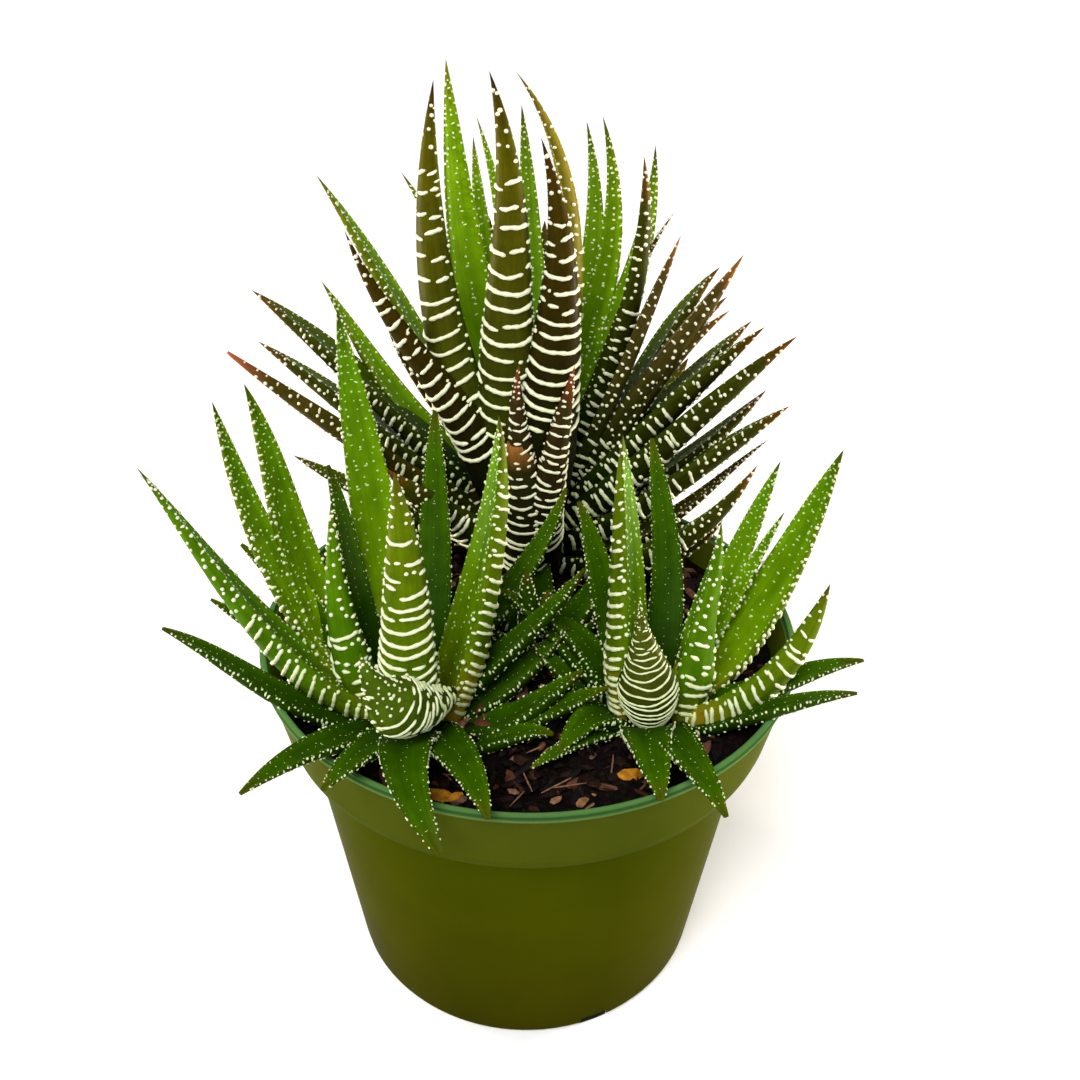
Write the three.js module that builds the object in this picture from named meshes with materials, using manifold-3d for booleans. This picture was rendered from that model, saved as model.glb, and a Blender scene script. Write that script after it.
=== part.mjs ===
// A potted zebra haworthia: three rosettes and a small offset in a round nursery pot.
// Millimetres, +Z up. The origin is the centre of the pot's flat underside.
// The pot's front faces -Y, and headings are degrees round +Z from +X.

import * as THREE from 'three';
import { mergeVertices } from 'three/addons/utils/BufferGeometryUtils.js';
import Module from 'manifold-3d';

const wasm = await Module();
wasm.setup();

// Pot, from its width over the rim
const RIM_RADIUS = 57;
const POT_HEIGHT = 86;
const WALL = 1.6;
const FLOOR = 2;
const FLOOR_CHAMFER = 1;
const BAND_HEIGHT = 17.8;
const BAND_FLARE = 3.8;
const BAND_STEP = 3.8;
const BAND_CHAMFER = 0.6;
const BASE_RADIUS = 41.2;
const BASE_CORNER = 2.2;
const CORNER_STEPS = 2;
const LIP = 0.9;
const LIP_OUT = 0.4;
const POT_SIDES = 48;

// Worked out from those: the band's foot, and the wall's radius just under the band
const BAND_FOOT = POT_HEIGHT - BAND_HEIGHT;
const BAND_RADIUS = RIM_RADIUS - BAND_FLARE;
const NECK_RADIUS = BAND_RADIUS - BAND_STEP;

// Drainage holes, which break through the corner between the floor and the wall
const HOLE_COUNT = 4;
const HOLE_RADIUS = 4.5;
const HOLE_CENTRE = 37.8;
const HOLE_HEIGHT = 4.5;
const HOLE_HEADING = -67;
const HOLE_SIDES = 16;

// Clearance between neighbours that touch
const GAP = 0.3;

// Soil, and the waves of its uneven top
const SOIL_TOP = 79;
const SOIL_SIDES = 32;
const SOIL_RINGS = [38, 25, 12];
const SOIL_CHAMFER = 1.5;
const SOIL_EDGE_GAP = 0.5;
const SOIL_BUMP = 0.9;
const SOIL_WAVE_LONG = 0.31;
const SOIL_WAVE_SHORT = 0.14;

// Stems and roots
const STEM_SIDES = 8;
const STEM_DEPTH = 16;
const STEM_TAPER = [0.8, 1, 1, 0.9];
const ROOT_SIDES = 5;
const ROOT_STEPS = 4;
const ROOT_RADIUS = 1.5;
const ROOT_TIP_RADIUS = 0.5;
const ROOT_START = 5;
const ROOT_TURN = 0.3;
const SHORT_REACH = 0.8;
const SHORT_DEPTH = 0.75;

// Leaf: where its rings lie along it, its width there as a share of the greatest, and its
// section as shares of the width. Leaves with a foot up to LOW_FOOT high sit in the soil.
const LEAF_RINGS = [-0.04, 0.12, 0.28, 0.45, 0.62, 0.78, 0.92];
const LEAF_TUCK_WIDTH = 0.6;
const LEAF_FOOT_WIDTH = 0.8;
const LEAF_WIDEST = 0.3;
const LEAF_TAPER = 0.7;
const KEEL_DEPTH = 0.38;
const FACE_HOLLOW = 0.07;
const LOW_FOOT = 5;
const SHOULDER_OUT = 0.2;

// Each leaf, in its own frame: out points away from the rosette's axis along the heading,
// side points to the left of it, and rise points up. The numbers are: the leaf's number,
// its heading, its foot's distance from the axis and height over the soil, where its tip
// lies from its foot (out, side, rise), its greatest width, how far the two middle control
// points of its centre line bulge to its back (low, high), and how far they sway to its
// left (low, high). Degrees and millimetres.
const BACK_LEAVES = [
  [1, 125, 4, 29, 31, -1, 81, 10, 9, 4, 2, 1],
  [2, 222, 5, 27, 7, -16, 84, 12, 12, 9, 1, -2],
  [3, 260, 4, 27, 5, -7, 88, 13.5, 10, 4, -6, 8],
  [4, 10, 4, 29, -6, 13, 82, 9, 3, 22, 5, 1],
  [5, 280, 5, 23, 1, 0, 80, 16, 12, 6, -3, 9],
  [6, 62, 4, 29, 32, 3, 69, 8, 9, 7, -1, -11],
  [7, 10, 4, 27, 18, 1, 70, 9.5, 7, 8, 3, 2],
  [8, 12, 4, 25, 26, 2, 60, 8, 5, -4, 3, 4],
  [9, 25, 5, 21, 41, 1, 48, 7.5, 6, -4, 0, 4],
  [10, 5, 5, 23, 39, 2, 54, 8, 1, -1, 4, 1],
  [11, 22, 5, 17, 48, -1, 40, 7, 3, -2, 2, 2],
  [12, 0, 5, 19, 44, 1, 44, 8.5, 0, -4, 2, 1],
  [13, 352, 5, 17, 50, 4, 46, 8.5, 3, -3, 1, 2],
  [14, 357, 5, 11, 51, 1, 35, 8.5, 4, -1, 0, 2],
  [15, 350, 5, 7, 45, 2, 27, 8.5, 10, 7, -5, -5],
  [16, 168, 5, 19, 58, 1, 46, 9, 2, -4, -2, -2],
  [17, 160, 5, 21, 46, -1, 44, 8, 9, 3, 2, 0],
  [18, 170, 5, 15, 57, 1, 39, 8.5, 2, -2, -2, -3],
  [19, 195, 5, 13, 58, -10, 46, 8.5, 0, -1, -2, 1],
  [20, 212, 5, 17, 22, -14, 45, 10, -6, 2, 2, 0],
  [21, 158, 5, 23, 46, -1, 65, 11, 3, -2, -3, -3],
  [22, 222, 5, 19, 27, -20, 66, 16, -6, 5, 10, 3],
  [23, 268, 6, 7, 12, -2, 55, 8.5, 10, 4, 6, -3],
  [24, 255, 6, 5, 12, 0, 40, 11.5, 8, 2, 2, 3],
  [25, 295, 6, 6, 14, 0, 56, 10, 9, 3, -8, -4],
  [26, 92, 4, 29, 48, 2, 67, 6, 5, 2, -1, -2],
  [27, 70, 5, 15, 46, 0, 34, 9, 6, 2, 0, 0],
  [28, 95, 5, 11, 50, 0, 32, 9, 6, 2, 0, 0],
  [29, 118, 5, 13, 47, 0, 36, 9, 6, 2, 0, 0],
];

const LEFT_LEAVES = [
  [1, 178, 6, 2, 44, -7, 50, 10, 12, 3, 0, -2],
  [2, 150, 6, 3, 41, -3, 54, 8.5, 14, 5, 1, 2],
  [3, 138, 6, 3, 41, -1, 55, 11, 17, 3, 4, -2],
  [4, 115, 5, 4, 40, -3, 66, 12, 11, 3, -3, -1],
  [5, 265, 6, 2, -7, -1, 54, 12.5, 9, 4, 2, 3],
  [6, 222, 6, 3, 0, -14, 43, 8.5, 6, 6, 1, -1],
  [7, 85, 4, 5, 38, 1, 43, 7.5, 8, 4, -3, 0],
  [8, 0, 5, 3, 12, 18, 56, 13, 1, 3, 1, 1],
  [9, 262, 7, 1, 0, -8, 19, 14, 7, 2, 5, 3],
  [10, 192, 6, 1, 39, -2, 26, 6.5, 8, -1, 1, 0],
  [11, 230, 6, 1, 38, 4, 13, 6.5, -5, -6, 1, 0],
  [12, 281, 6, 1, 38, 1, 6, 9.5, -9, -14, -2, -8],
  [13, 345, 6, 1, 27, 8, 12, 7, 7, 1, -4, 0],
  [14, 0, 5, 3, 29, 10, 27, 7, 2, 2, 4, 1],
  [15, 40, 5, 4, 38, 4, 32, 6.5, 4, 4, 4, -2],
];

const RIGHT_LEAVES = [
  [1, 265, 6, 1, -10, -4, 24, 13.5, 11, 4, 1, 0],
  [2, 215, 4, 4, -5, -15, 53, 9.5, 1, -1, 5, 1],
  [3, 85, 4, 5, 34, 3, 38, 8, 8, 3, -6, -3],
  [4, 45, 5, 4, 34, 2, 39, 8, 9, 2, 2, 1],
  [5, 30, 5, 3, 40, 3, 45, 12, 12, 4, 0, 0],
  [6, 350, 5, 3, 5, 12, 37, 10, -4, 1, -1, 0],
  [7, 345, 6, 3, 25, 11, 28, 9.5, 9, 5, 1, -2],
  [8, 325, 6, 1, 31, 13, 14, 6, 1, -3, -2, -1],
  [9, 275, 6, 1, 28, -4, 9, 9, -8, -7, -4, -1],
  [10, 292, 6, 1, 33, -5, 9, 7.5, -8, -9, -4, -2],
];

const CENTRE_LEAVES = [
  [1, 100, 2, 3, 12, 0, 22, 6, 5, 2, 0, 0],
  [2, 165, 2, 3, 14, 0, 16, 5.5, 4, 1, 0, 0],
  [3, 20, 2, 3, 14, 0, 17, 6, 4, 1, 0, 0],
  [4, 275, 2, 3, 8, 0, 18, 6, 5, 2, 0, 0],
  [5, 225, 2, 2, 14, 0, 10, 5, 3, 0, 0, 0],
];

// Each rosette: its name, its place on the soil, the stem's height over the soil and
// radius, how many roots it has, how far they reach and how deep they go.
const ROSETTES = [
  {
    name: 'back', at: [0, 29], stemHeight: 32, stemRadius: 4,
    roots: 5, reach: 10, depth: 50, leaves: BACK_LEAVES,
  },
  {
    name: 'left', at: [-23, -23], stemHeight: 7, stemRadius: 4,
    roots: 4, reach: 8, depth: 46, leaves: LEFT_LEAVES,
  },
  {
    name: 'right', at: [25, -21], stemHeight: 7, stemRadius: 4,
    roots: 4, reach: 8, depth: 44, leaves: RIGHT_LEAVES,
  },
];
const OFFSET = {
  name: 'centre', at: [3, 2], stemHeight: 6, stemRadius: 2,
  roots: 3, reach: 6, depth: 30, leaves: CENTRE_LEAVES,
};

const COLOURS = {
  pot: 0x4b5610,
  soil: 0x35211a,
  stem: 0x6b5a2e,
  back: 0x4a5a20,
  left: 0x4f8a1e,
  right: 0x5a9422,
  centre: 0x2f5a1c,
};

const ROUGHNESS = {
  pot: 0.55,
  soil: 0.95,
  stem: 0.8,
  leaf: 0.5,
};

const radians = (degrees) => degrees * Math.PI / 180;

// A closed three.js geometry as a solid that can be joined and cut
function solidFrom(geometry) {
  const bare = geometry.clone();
  bare.deleteAttribute('normal');
  bare.deleteAttribute('uv');
  const merged = mergeVertices(bare, 1e-4);
  return new wasm.Manifold(new wasm.Mesh({
    numProp: 3,
    vertProperties: new Float32Array(merged.attributes.position.array),
    triVerts: new Uint32Array(merged.index.array),
  }));
}

// The biggest piece of a solid, in case a cut has left crumbs
function biggestPiece(solid) {
  const pieces = solid.decompose();
  return pieces.reduce((best, piece) => (piece.volume() > best.volume() ? piece : best));
}

function geometryFrom(solid) {
  const mesh = solid.getMesh();
  const geometry = new THREE.BufferGeometry();
  geometry.setAttribute('position', new THREE.BufferAttribute(mesh.vertProperties, 3));
  geometry.setIndex(new THREE.BufferAttribute(mesh.triVerts, 1));
  geometry.computeVertexNormals();
  return geometry;
}

// A closed skin over rings of points, with a flat foot and a point at the far end
function skinOver(rings, tip) {
  const points = [...rings.flat(), tip];
  const count = rings[0].length;
  const faces = [];
  for (let ring = 0; ring < rings.length - 1; ring += 1) {
    for (let side = 0; side < count; side += 1) {
      const next = (side + 1) % count;
      const a = ring * count + side;
      const b = ring * count + next;
      faces.push(a, b, b + count, a, b + count, a + count);
    }
  }
  const last = (rings.length - 1) * count;
  for (let side = 0; side < count; side += 1) {
    faces.push(last + side, last + (side + 1) % count, points.length - 1);
  }
  for (let side = 1; side < count - 1; side += 1) {
    faces.push(0, side + 1, side);
  }
  const geometry = new THREE.BufferGeometry();
  const flat = points.flatMap((point) => point.toArray());
  geometry.setAttribute('position', new THREE.Float32BufferAttribute(flat, 3));
  geometry.setIndex(faces);
  return geometry;
}

// Width of a leaf at a place along it, as a fraction of its greatest width
function leafWidth(along) {
  if (along < 0) {
    return LEAF_TUCK_WIDTH;
  }
  if (along < LEAF_WIDEST) {
    const rise = Math.sin((along / LEAF_WIDEST) * (Math.PI / 2));
    return LEAF_FOOT_WIDTH + (1 - LEAF_FOOT_WIDTH) * rise;
  }
  const run = (along - LEAF_WIDEST) / (1 - LEAF_WIDEST);
  return Math.pow(1 - run, LEAF_TAPER);
}

// The centre line of a leaf: a cubic curve from its foot to its tip
function leafSpine(rosette, row) {
  const [, heading, footRadius, footHeight, out, side, rise, , lowArch, highArch] = row;
  const [lowSway, highSway] = row.slice(10);
  const turn = radians(heading);
  const outward = new THREE.Vector3(Math.cos(turn), Math.sin(turn), 0);
  const left = new THREE.Vector3(-outward.y, outward.x, 0);
  const foot = new THREE.Vector3(rosette.at[0], rosette.at[1], SOIL_TOP + footHeight);
  foot.addScaledVector(outward, footRadius);
  const chord = outward.clone().multiplyScalar(out).addScaledVector(left, side);
  chord.z = rise;
  const back = new THREE.Vector3().crossVectors(left, chord).normalize();
  const point = (along) => {
    const low = 3 * along * (1 - along) ** 2;
    const high = 3 * along ** 2 * (1 - along);
    return foot.clone()
      .addScaledVector(chord, along)
      .addScaledVector(back, lowArch * low + highArch * high)
      .addScaledVector(left, lowSway * low + highSway * high);
  };
  return { point, left, length: chord.length() };
}

// A leaf: hollowed face towards the rosette's axis, keeled back, pointed tip.
// margin makes it that much bigger all round, to cut room for it in a neighbour.
function leafSolid(rosette, row, margin) {
  const { point, left, length } = leafSpine(rosette, row);
  const width = row[7];
  const rings = LEAF_RINGS.map((ring) => {
    const along = ring < 0 ? ring - margin / length : ring;
    const tangent = point(along + 0.01).sub(point(along - 0.01)).normalize();
    const across = left.clone().addScaledVector(tangent, -left.dot(tangent)).normalize();
    const keel = new THREE.Vector3().crossVectors(across, tangent).normalize();
    const wide = width * leafWidth(ring);
    const deep = wide * KEEL_DEPTH + margin;
    const place = (sideways, depth) => point(along)
      .addScaledVector(across, sideways)
      .addScaledVector(keel, depth);
    return [
      place(-wide / 2 - margin, -margin),
      place(-wide * SHOULDER_OUT - margin, deep),
      place(wide * SHOULDER_OUT + margin, deep),
      place(wide / 2 + margin, -margin),
      place(0, wide * FACE_HOLLOW - margin),
    ];
  });
  return solidFrom(skinOver(rings, point(1 + 2 * margin / length)));
}

// A round tapering rod with closed ends through a list of points
function rodSolid(points, radii, sides, margin) {
  const curve = new THREE.CatmullRomCurve3(points);
  const steps = radii.length;
  const rings = [];
  for (let step = 0; step < steps; step += 1) {
    const along = step / steps;
    const tangent = curve.getTangent(along);
    const across = new THREE.Vector3(tangent.y, -tangent.x, 0);
    if (across.length() < 0.01) across.set(1, 0, 0);
    across.normalize();
    const up = new THREE.Vector3().crossVectors(tangent, across).normalize();
    const ring = [];
    for (let side = 0; side < sides; side += 1) {
      const turn = (2 * Math.PI * side) / sides;
      ring.push(curve.getPoint(along)
        .addScaledVector(across, Math.cos(turn) * (radii[step] + margin))
        .addScaledVector(up, Math.sin(turn) * (radii[step] + margin)));
    }
    rings.push(ring);
  }
  const end = curve.getPoint(1).addScaledVector(curve.getTangent(1), margin);
  return solidFrom(skinOver(rings, end));
}

// A stem with its roots, grown as one piece
function stemSolid(rosette, margin) {
  const [x, y] = rosette.at;
  const low = SOIL_TOP - STEM_DEPTH;
  const high = SOIL_TOP + rosette.stemHeight;
  const radius = rosette.stemRadius;
  const core = [
    new THREE.Vector3(x, y, low - margin),
    new THREE.Vector3(x, y, (low + high) / 2),
    new THREE.Vector3(x, y, high),
  ];
  let solid = rodSolid(core, STEM_TAPER.map((share) => share * radius), STEM_SIDES, margin);
  for (let root = 0; root < rosette.roots; root += 1) {
    const heading = (2 * Math.PI * (root + ROOT_TURN)) / rosette.roots;
    const reach = rosette.reach * (root % 2 ? SHORT_REACH : 1);
    const depth = rosette.depth * (root % 2 ? 1 : SHORT_DEPTH);
    const at = (share, drop) => new THREE.Vector3(
      x + Math.cos(heading) * reach * share,
      y + Math.sin(heading) * reach * share,
      low + ROOT_START - drop * depth,
    );
    const points = [at(0.05, 0), at(0.5, 0.2), at(0.8, 0.6), at(1, 1)];
    const radii = [];
    for (let step = 0; step < ROOT_STEPS; step += 1) {
      radii.push(THREE.MathUtils.lerp(ROOT_RADIUS, ROOT_TIP_RADIUS, step / ROOT_STEPS));
    }
    solid = solid.add(rodSolid(points, radii, ROOT_SIDES, margin));
  }
  return solid;
}

// The pot's outline, from the centre of the underside round to the centre of the floor
function potProfile() {
  const outline = [[0, 0]];
  for (let step = 0; step <= CORNER_STEPS; step += 1) {
    const turn = (Math.PI / 2) * (step / CORNER_STEPS);
    outline.push([
      BASE_RADIUS - BASE_CORNER + BASE_CORNER * Math.sin(turn),
      BASE_CORNER - BASE_CORNER * Math.cos(turn),
    ]);
  }
  outline.push(
    [NECK_RADIUS, BAND_FOOT],
    [BAND_RADIUS, BAND_FOOT + BAND_CHAMFER],
    [RIM_RADIUS - LIP_OUT, POT_HEIGHT - LIP * 2],
    [RIM_RADIUS, POT_HEIGHT - LIP],
    [RIM_RADIUS - WALL / 2, POT_HEIGHT],
    [RIM_RADIUS - WALL, POT_HEIGHT - LIP],
    [BAND_RADIUS - WALL, BAND_FOOT + WALL + BAND_CHAMFER],
    [NECK_RADIUS - WALL, BAND_FOOT + WALL],
    [BASE_RADIUS - WALL, FLOOR + FLOOR_CHAMFER],
    [BASE_RADIUS - WALL - FLOOR_CHAMFER, FLOOR],
    [0, FLOOR],
  );
  return outline.map(([radius, height]) => new THREE.Vector2(radius, height));
}

function potSolid() {
  let pot = solidFrom(new THREE.LatheGeometry(potProfile(), POT_SIDES).rotateX(Math.PI / 2));
  const height = HOLE_HEIGHT * 2;
  for (let hole = 0; hole < HOLE_COUNT; hole += 1) {
    const heading = radians(HOLE_HEADING + (360 * hole) / HOLE_COUNT);
    const cutter = new THREE.CylinderGeometry(HOLE_RADIUS, HOLE_RADIUS, height, HOLE_SIDES);
    cutter.rotateX(Math.PI / 2);
    cutter.translate(HOLE_CENTRE * Math.cos(heading), HOLE_CENTRE * Math.sin(heading), 0);
    pot = pot.subtract(solidFrom(cutter));
  }
  return pot;
}

// The soil fills the pot to a little under its rim, and its top is uneven. It is pressed
// round the stems, the roots and the feet of the lowest leaves.
function soilSolid(plants) {
  const inner = WALL + GAP;
  const rise = (SOIL_TOP - BAND_FOOT) / BAND_HEIGHT;
  const edge = BAND_RADIUS - inner + BAND_FLARE * rise - SOIL_EDGE_GAP;
  const outline = [
    [0, FLOOR + GAP],
    [BASE_RADIUS - inner - SOIL_CHAMFER, FLOOR + GAP],
    [BASE_RADIUS - inner, FLOOR + GAP + SOIL_CHAMFER],
    [NECK_RADIUS - inner, BAND_FOOT + inner],
    [BAND_RADIUS - inner, BAND_FOOT + inner + SOIL_CHAMFER],
    [edge, SOIL_TOP],
    ...SOIL_RINGS.map((ring) => [ring, SOIL_TOP]),
    [0, SOIL_TOP],
  ].map(([radius, height]) => new THREE.Vector2(radius, height));
  const geometry = new THREE.LatheGeometry(outline, SOIL_SIDES).rotateX(Math.PI / 2);
  const place = geometry.attributes.position;
  for (let index = 0; index < place.count; index += 1) {
    const x = place.getX(index);
    const y = place.getY(index);
    if (place.getZ(index) > SOIL_TOP - GAP && Math.hypot(x, y) < edge - 1) {
      const across = Math.sin(x * SOIL_WAVE_LONG + y * SOIL_WAVE_SHORT);
      const along = Math.cos(y * SOIL_WAVE_LONG - x * SOIL_WAVE_SHORT);
      place.setZ(index, SOIL_TOP + SOIL_BUMP * across * along);
    }
  }
  return plants.reduce((soil, plant) => soil.subtract(plant), solidFrom(geometry));
}

const group = new THREE.Group();

function addNode(name, solid, colour, roughness) {
  const material = new THREE.MeshStandardMaterial({ color: colour, roughness, metalness: 0 });
  const mesh = new THREE.Mesh(geometryFrom(biggestPiece(solid)), material);
  mesh.name = name;
  group.add(mesh);
}

const boxesMeet = (a, b) => {
  const first = a.boundingBox();
  const second = b.boundingBox();
  return [0, 1, 2].every((axis) => (
    first.min[axis] < second.max[axis] && second.min[axis] < first.max[axis]
  ));
};

// Everything already placed, a little bigger, so that what comes later is cut clear of it
const grownSolids = [];

function cutClear(solid) {
  return grownSolids
    .filter((grown) => boxesMeet(solid, grown))
    .reduce((rest, grown) => rest.subtract(grown), solid);
}

addNode('pot', potSolid(), COLOURS.pot, ROUGHNESS.pot);

const everyPlant = [...ROSETTES, OFFSET];
const everyStem = everyPlant.map((rosette) => stemSolid(rosette, GAP));
const everyLowLeaf = everyPlant.flatMap((rosette) => rosette.leaves
  .filter((row) => row[3] <= LOW_FOOT)
  .map((row) => leafSolid(rosette, row, GAP)));
addNode('soil', soilSolid([...everyStem, ...everyLowLeaf]), COLOURS.soil, ROUGHNESS.soil);

for (const rosette of ROSETTES) {
  addNode(`${rosette.name}_stem`, stemSolid(rosette, 0), COLOURS.stem, ROUGHNESS.stem);
  grownSolids.push(stemSolid(rosette, GAP));
}

const offset = OFFSET.leaves.reduce(
  (plant, row) => plant.add(leafSolid(OFFSET, row, 0)),
  stemSolid(OFFSET, 0),
);
addNode('centre_offset', offset, COLOURS.centre, ROUGHNESS.leaf);
grownSolids.push(...OFFSET.leaves.map((row) => leafSolid(OFFSET, row, GAP)));

for (const rosette of ROSETTES) {
  for (const row of rosette.leaves) {
    const number = String(row[0]).padStart(2, '0');
    const leaf = cutClear(leafSolid(rosette, row, 0));
    addNode(`${rosette.name}_leaf_${number}`, leaf, COLOURS[rosette.name], ROUGHNESS.leaf);
    grownSolids.push(leafSolid(rosette, row, GAP));
  }
}

export default group;
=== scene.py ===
"""A potted zebra haworthia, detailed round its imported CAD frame.

Metres, +Z up, the origin at the centre of the pot's underside, and its front towards -Y. Leaf rows
and sizes marked mm become metres by MM. The leaf rows are the part's own, apart from a few widths,
rolls and middles that are set closer to the photo here. A pair of numbers that belongs to a random
draw is its range.
"""

import math
from dataclasses import dataclass
from functools import partial
from types import SimpleNamespace as Group

import bmesh
import bpy
import numpy as np
from mathutils import Euler, Matrix, Vector

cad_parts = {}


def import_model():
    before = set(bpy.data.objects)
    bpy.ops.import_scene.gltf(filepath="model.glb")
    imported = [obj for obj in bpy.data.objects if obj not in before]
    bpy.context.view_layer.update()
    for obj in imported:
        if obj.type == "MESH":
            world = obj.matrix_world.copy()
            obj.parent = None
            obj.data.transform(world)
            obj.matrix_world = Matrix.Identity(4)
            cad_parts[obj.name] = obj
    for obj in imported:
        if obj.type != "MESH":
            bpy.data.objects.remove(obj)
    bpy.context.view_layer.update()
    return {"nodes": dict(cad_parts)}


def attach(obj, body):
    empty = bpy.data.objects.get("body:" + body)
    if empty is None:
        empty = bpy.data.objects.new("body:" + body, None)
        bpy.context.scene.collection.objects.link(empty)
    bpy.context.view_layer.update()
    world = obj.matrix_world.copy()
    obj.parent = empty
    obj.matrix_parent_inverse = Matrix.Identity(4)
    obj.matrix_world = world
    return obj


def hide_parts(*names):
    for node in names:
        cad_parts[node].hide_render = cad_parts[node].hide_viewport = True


MM = 0.001

# Camera, from the ellipses of the pot in the photo. It rolls in radians.
CAMERA = Group(
    place=(2.109 * MM, -200.575 * MM, 237.574 * MM), down=math.radians(33.1), roll=0.016,
    lens=38.733, sensor=36, near=10 * MM)

# Studio floor and wall, mm
STAGE = Group(reach=3000, curve=700, top=2100, steps=12, sides=96)

# Studio light. A light's row: name, kind, place in metres, power, colour, and size in metres
# across, or in radians for a sun
SKY_STRENGTH = 0.1
WHITE = (1, 1, 1)
WARM = (1, 0.86, 0.7)
LIGHT_TARGET = (0, 0, 90 * MM)
LIGHTS = [
    ("key", "SUN", (-0.2, -0.6, 1.0), 3.1, WHITE, 0.6),
    ("left_warm", "AREA", (-0.6, 0.2, 0.06), 5.5, WARM, 0.12),
    ("right_warm", "AREA", (0.6, 0.2, 0.06), 7.5, WARM, 0.12),
]

# Pot, mm, as in the part
RIM_RADIUS = 57
POT_HEIGHT = 86
WALL = 1.6
FLOOR = 2
FLOOR_BEVEL = 1
BAND_HEIGHT = 17.8
BAND_FLARE = 3.8
BAND_STEP = 3.8
BAND_FOOT = POT_HEIGHT - BAND_HEIGHT
BAND_RADIUS = RIM_RADIUS - BAND_FLARE
NECK_RADIUS = BAND_RADIUS - BAND_STEP
BASE_RADIUS = 41.2
BASE_CORNER = 2.2
CORNER_STEPS = 5
POT_SIDES = 160
HOLE = Group(count=4, radius=4.5, centre=37.8, height=3, heading=-67, sides=32)
POT_SHARP = math.radians(32)

# Roundings of the pot's outside from below, mm: outward and upward from the neck, from the band's
# lower edge, from the rim, and from the inside of the rim
ROUNDINGS = [
    (NECK_RADIUS, BAND_FOOT, [(-0.15, -1.2), (0, -0.2), (0.4, 0)]),
    (BAND_RADIUS, BAND_FOOT, [(-0.4, 0.05), (0, 0.5), (0.35, 2.0), (0.5, 2.2), (0.55, 2.6)]),
    (RIM_RADIUS, POT_HEIGHT, [(-0.75, -2.3), (-0.2, -1.9), (0, -1.2), (0, -0.6), (-0.3, -0.12)]),
    (RIM_RADIUS - WALL, POT_HEIGHT, [(WALL / 2, 0), (0.3, -0.12), (0, -0.6)]),
]
BAND_INSIDE_RISE = 0.6

# Soil, mm. A wave's row: its half waves to a millimetre, its height and how many there are.
SOIL_TOP = 79
SOIL_EDGE = 53
SOIL_GAP = 0.3
SOIL_SIDES = 120
SOIL_WAVES = [(0.12, 0.6, 5), (0.5, 0.35, 8), (1.4, 0.22, 10)]
SOIL_ROUGHNESS = 0.6
SOIL_SEED = 7
SOIL_SHARP = math.radians(50)
PLUG = Group(height=4, gap=0.3, sides=24, reach=BASE_RADIUS - 0.7)

# Bark chips, fibres, and ochre chips by x, y, length and heading, mm. A chip's rings: how far along
# it, and the share of its thickness.
CHIP = Group(
    count=1400, reach=SOIL_EDGE - 3, lift=(-0.2, 1.6), least=(2.0, 1.3, 0.7), more=(4.5, 2.4, 1.3),
    width_spread=(0.6, 1), height_spread=(0.5, 1), roll=0.5, pitch=0.35, tone=0.95, darkness=0.9,
    darker=0.7, sides=6, rings=[(-0.5, 0.35), (-0.28, 0.9), (0.2, 1.0), (0.5, 0.4)], ring_turn=0.25,
    ring_drift=0.07, ring_size=(0.75, 1.1), seed=11)
FIBRE = Group(
    count=90, reach=SOIL_EDGE - 5, lift=(1.2, 2.0), length=(3, 7), section=(0.4, 0.35), pitch=0.15,
    tone=(0.85, 0.95))
OCHRE = Group(
    chips=[(20, -40.5, 5.2, 10), (-16, -46.5, 5.5, -12), (-13, -47, 3.5, 30)], shape=(1, 0.55, 0.4),
    lift=1.6, tilt=0.1, tone=1.0)

# Leaf section, as shares of its width. The tuck is how far the skin starts under the foot, and
# the end is where it closes, as shares of the leaf's length.
KEEL_DEPTH = 0.5
KEEL_POWER = 0.9
FACE_HOLLOW = 0.07
HOLD_POWER = 4
TUCK = 0.04
SKIN_END = 0.997
LEAF_RINGS = 44
RING_POWER = 0.9
LEAF_SIDES = 20
EDGE_SHARPNESS = 4

# Steps for a leaf's directions and for its length
CENTRE_STEP = 0.01
SKIN_STEP = 0.004
TURN_STEP = 0.02
LENGTH_POINTS = 40

# White bumps. Gaps, lengths, drifts and waves are in mm, and turns in radians. A dot's rings: the
# share of its radius, and their lift.
ANY_PHASE = 6.28
DOT = Group(sides=6, rings=[(1.0, -0.35), (0.78, 0.5)], top=0.85)
DASH = Group(reach=1.1, leaf_least=2.5)

# Bands: their section in half widths, how they bow, wave and swell, and their pieces
STRIPE = Group(
    section=[(-1.0, -0.4), (-0.55, 0.7), (0.55, 0.7), (1.0, -0.4)], point_gap=0.62, points_least=4,
    slack=1.3, bow=0.15, wave=(0.1, 0.32), wave_turns=(1.5, 3), ripple=0.07, ripple_turns=7,
    end=0.45, swell=0.16, swell_step=2.1)
PIECE = Group(
    edges=(0.05 * math.pi, 0.95 * math.pi), edge_drift=0.08, shortest=0.3, gap=0.09, least=2, end=4)

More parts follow.
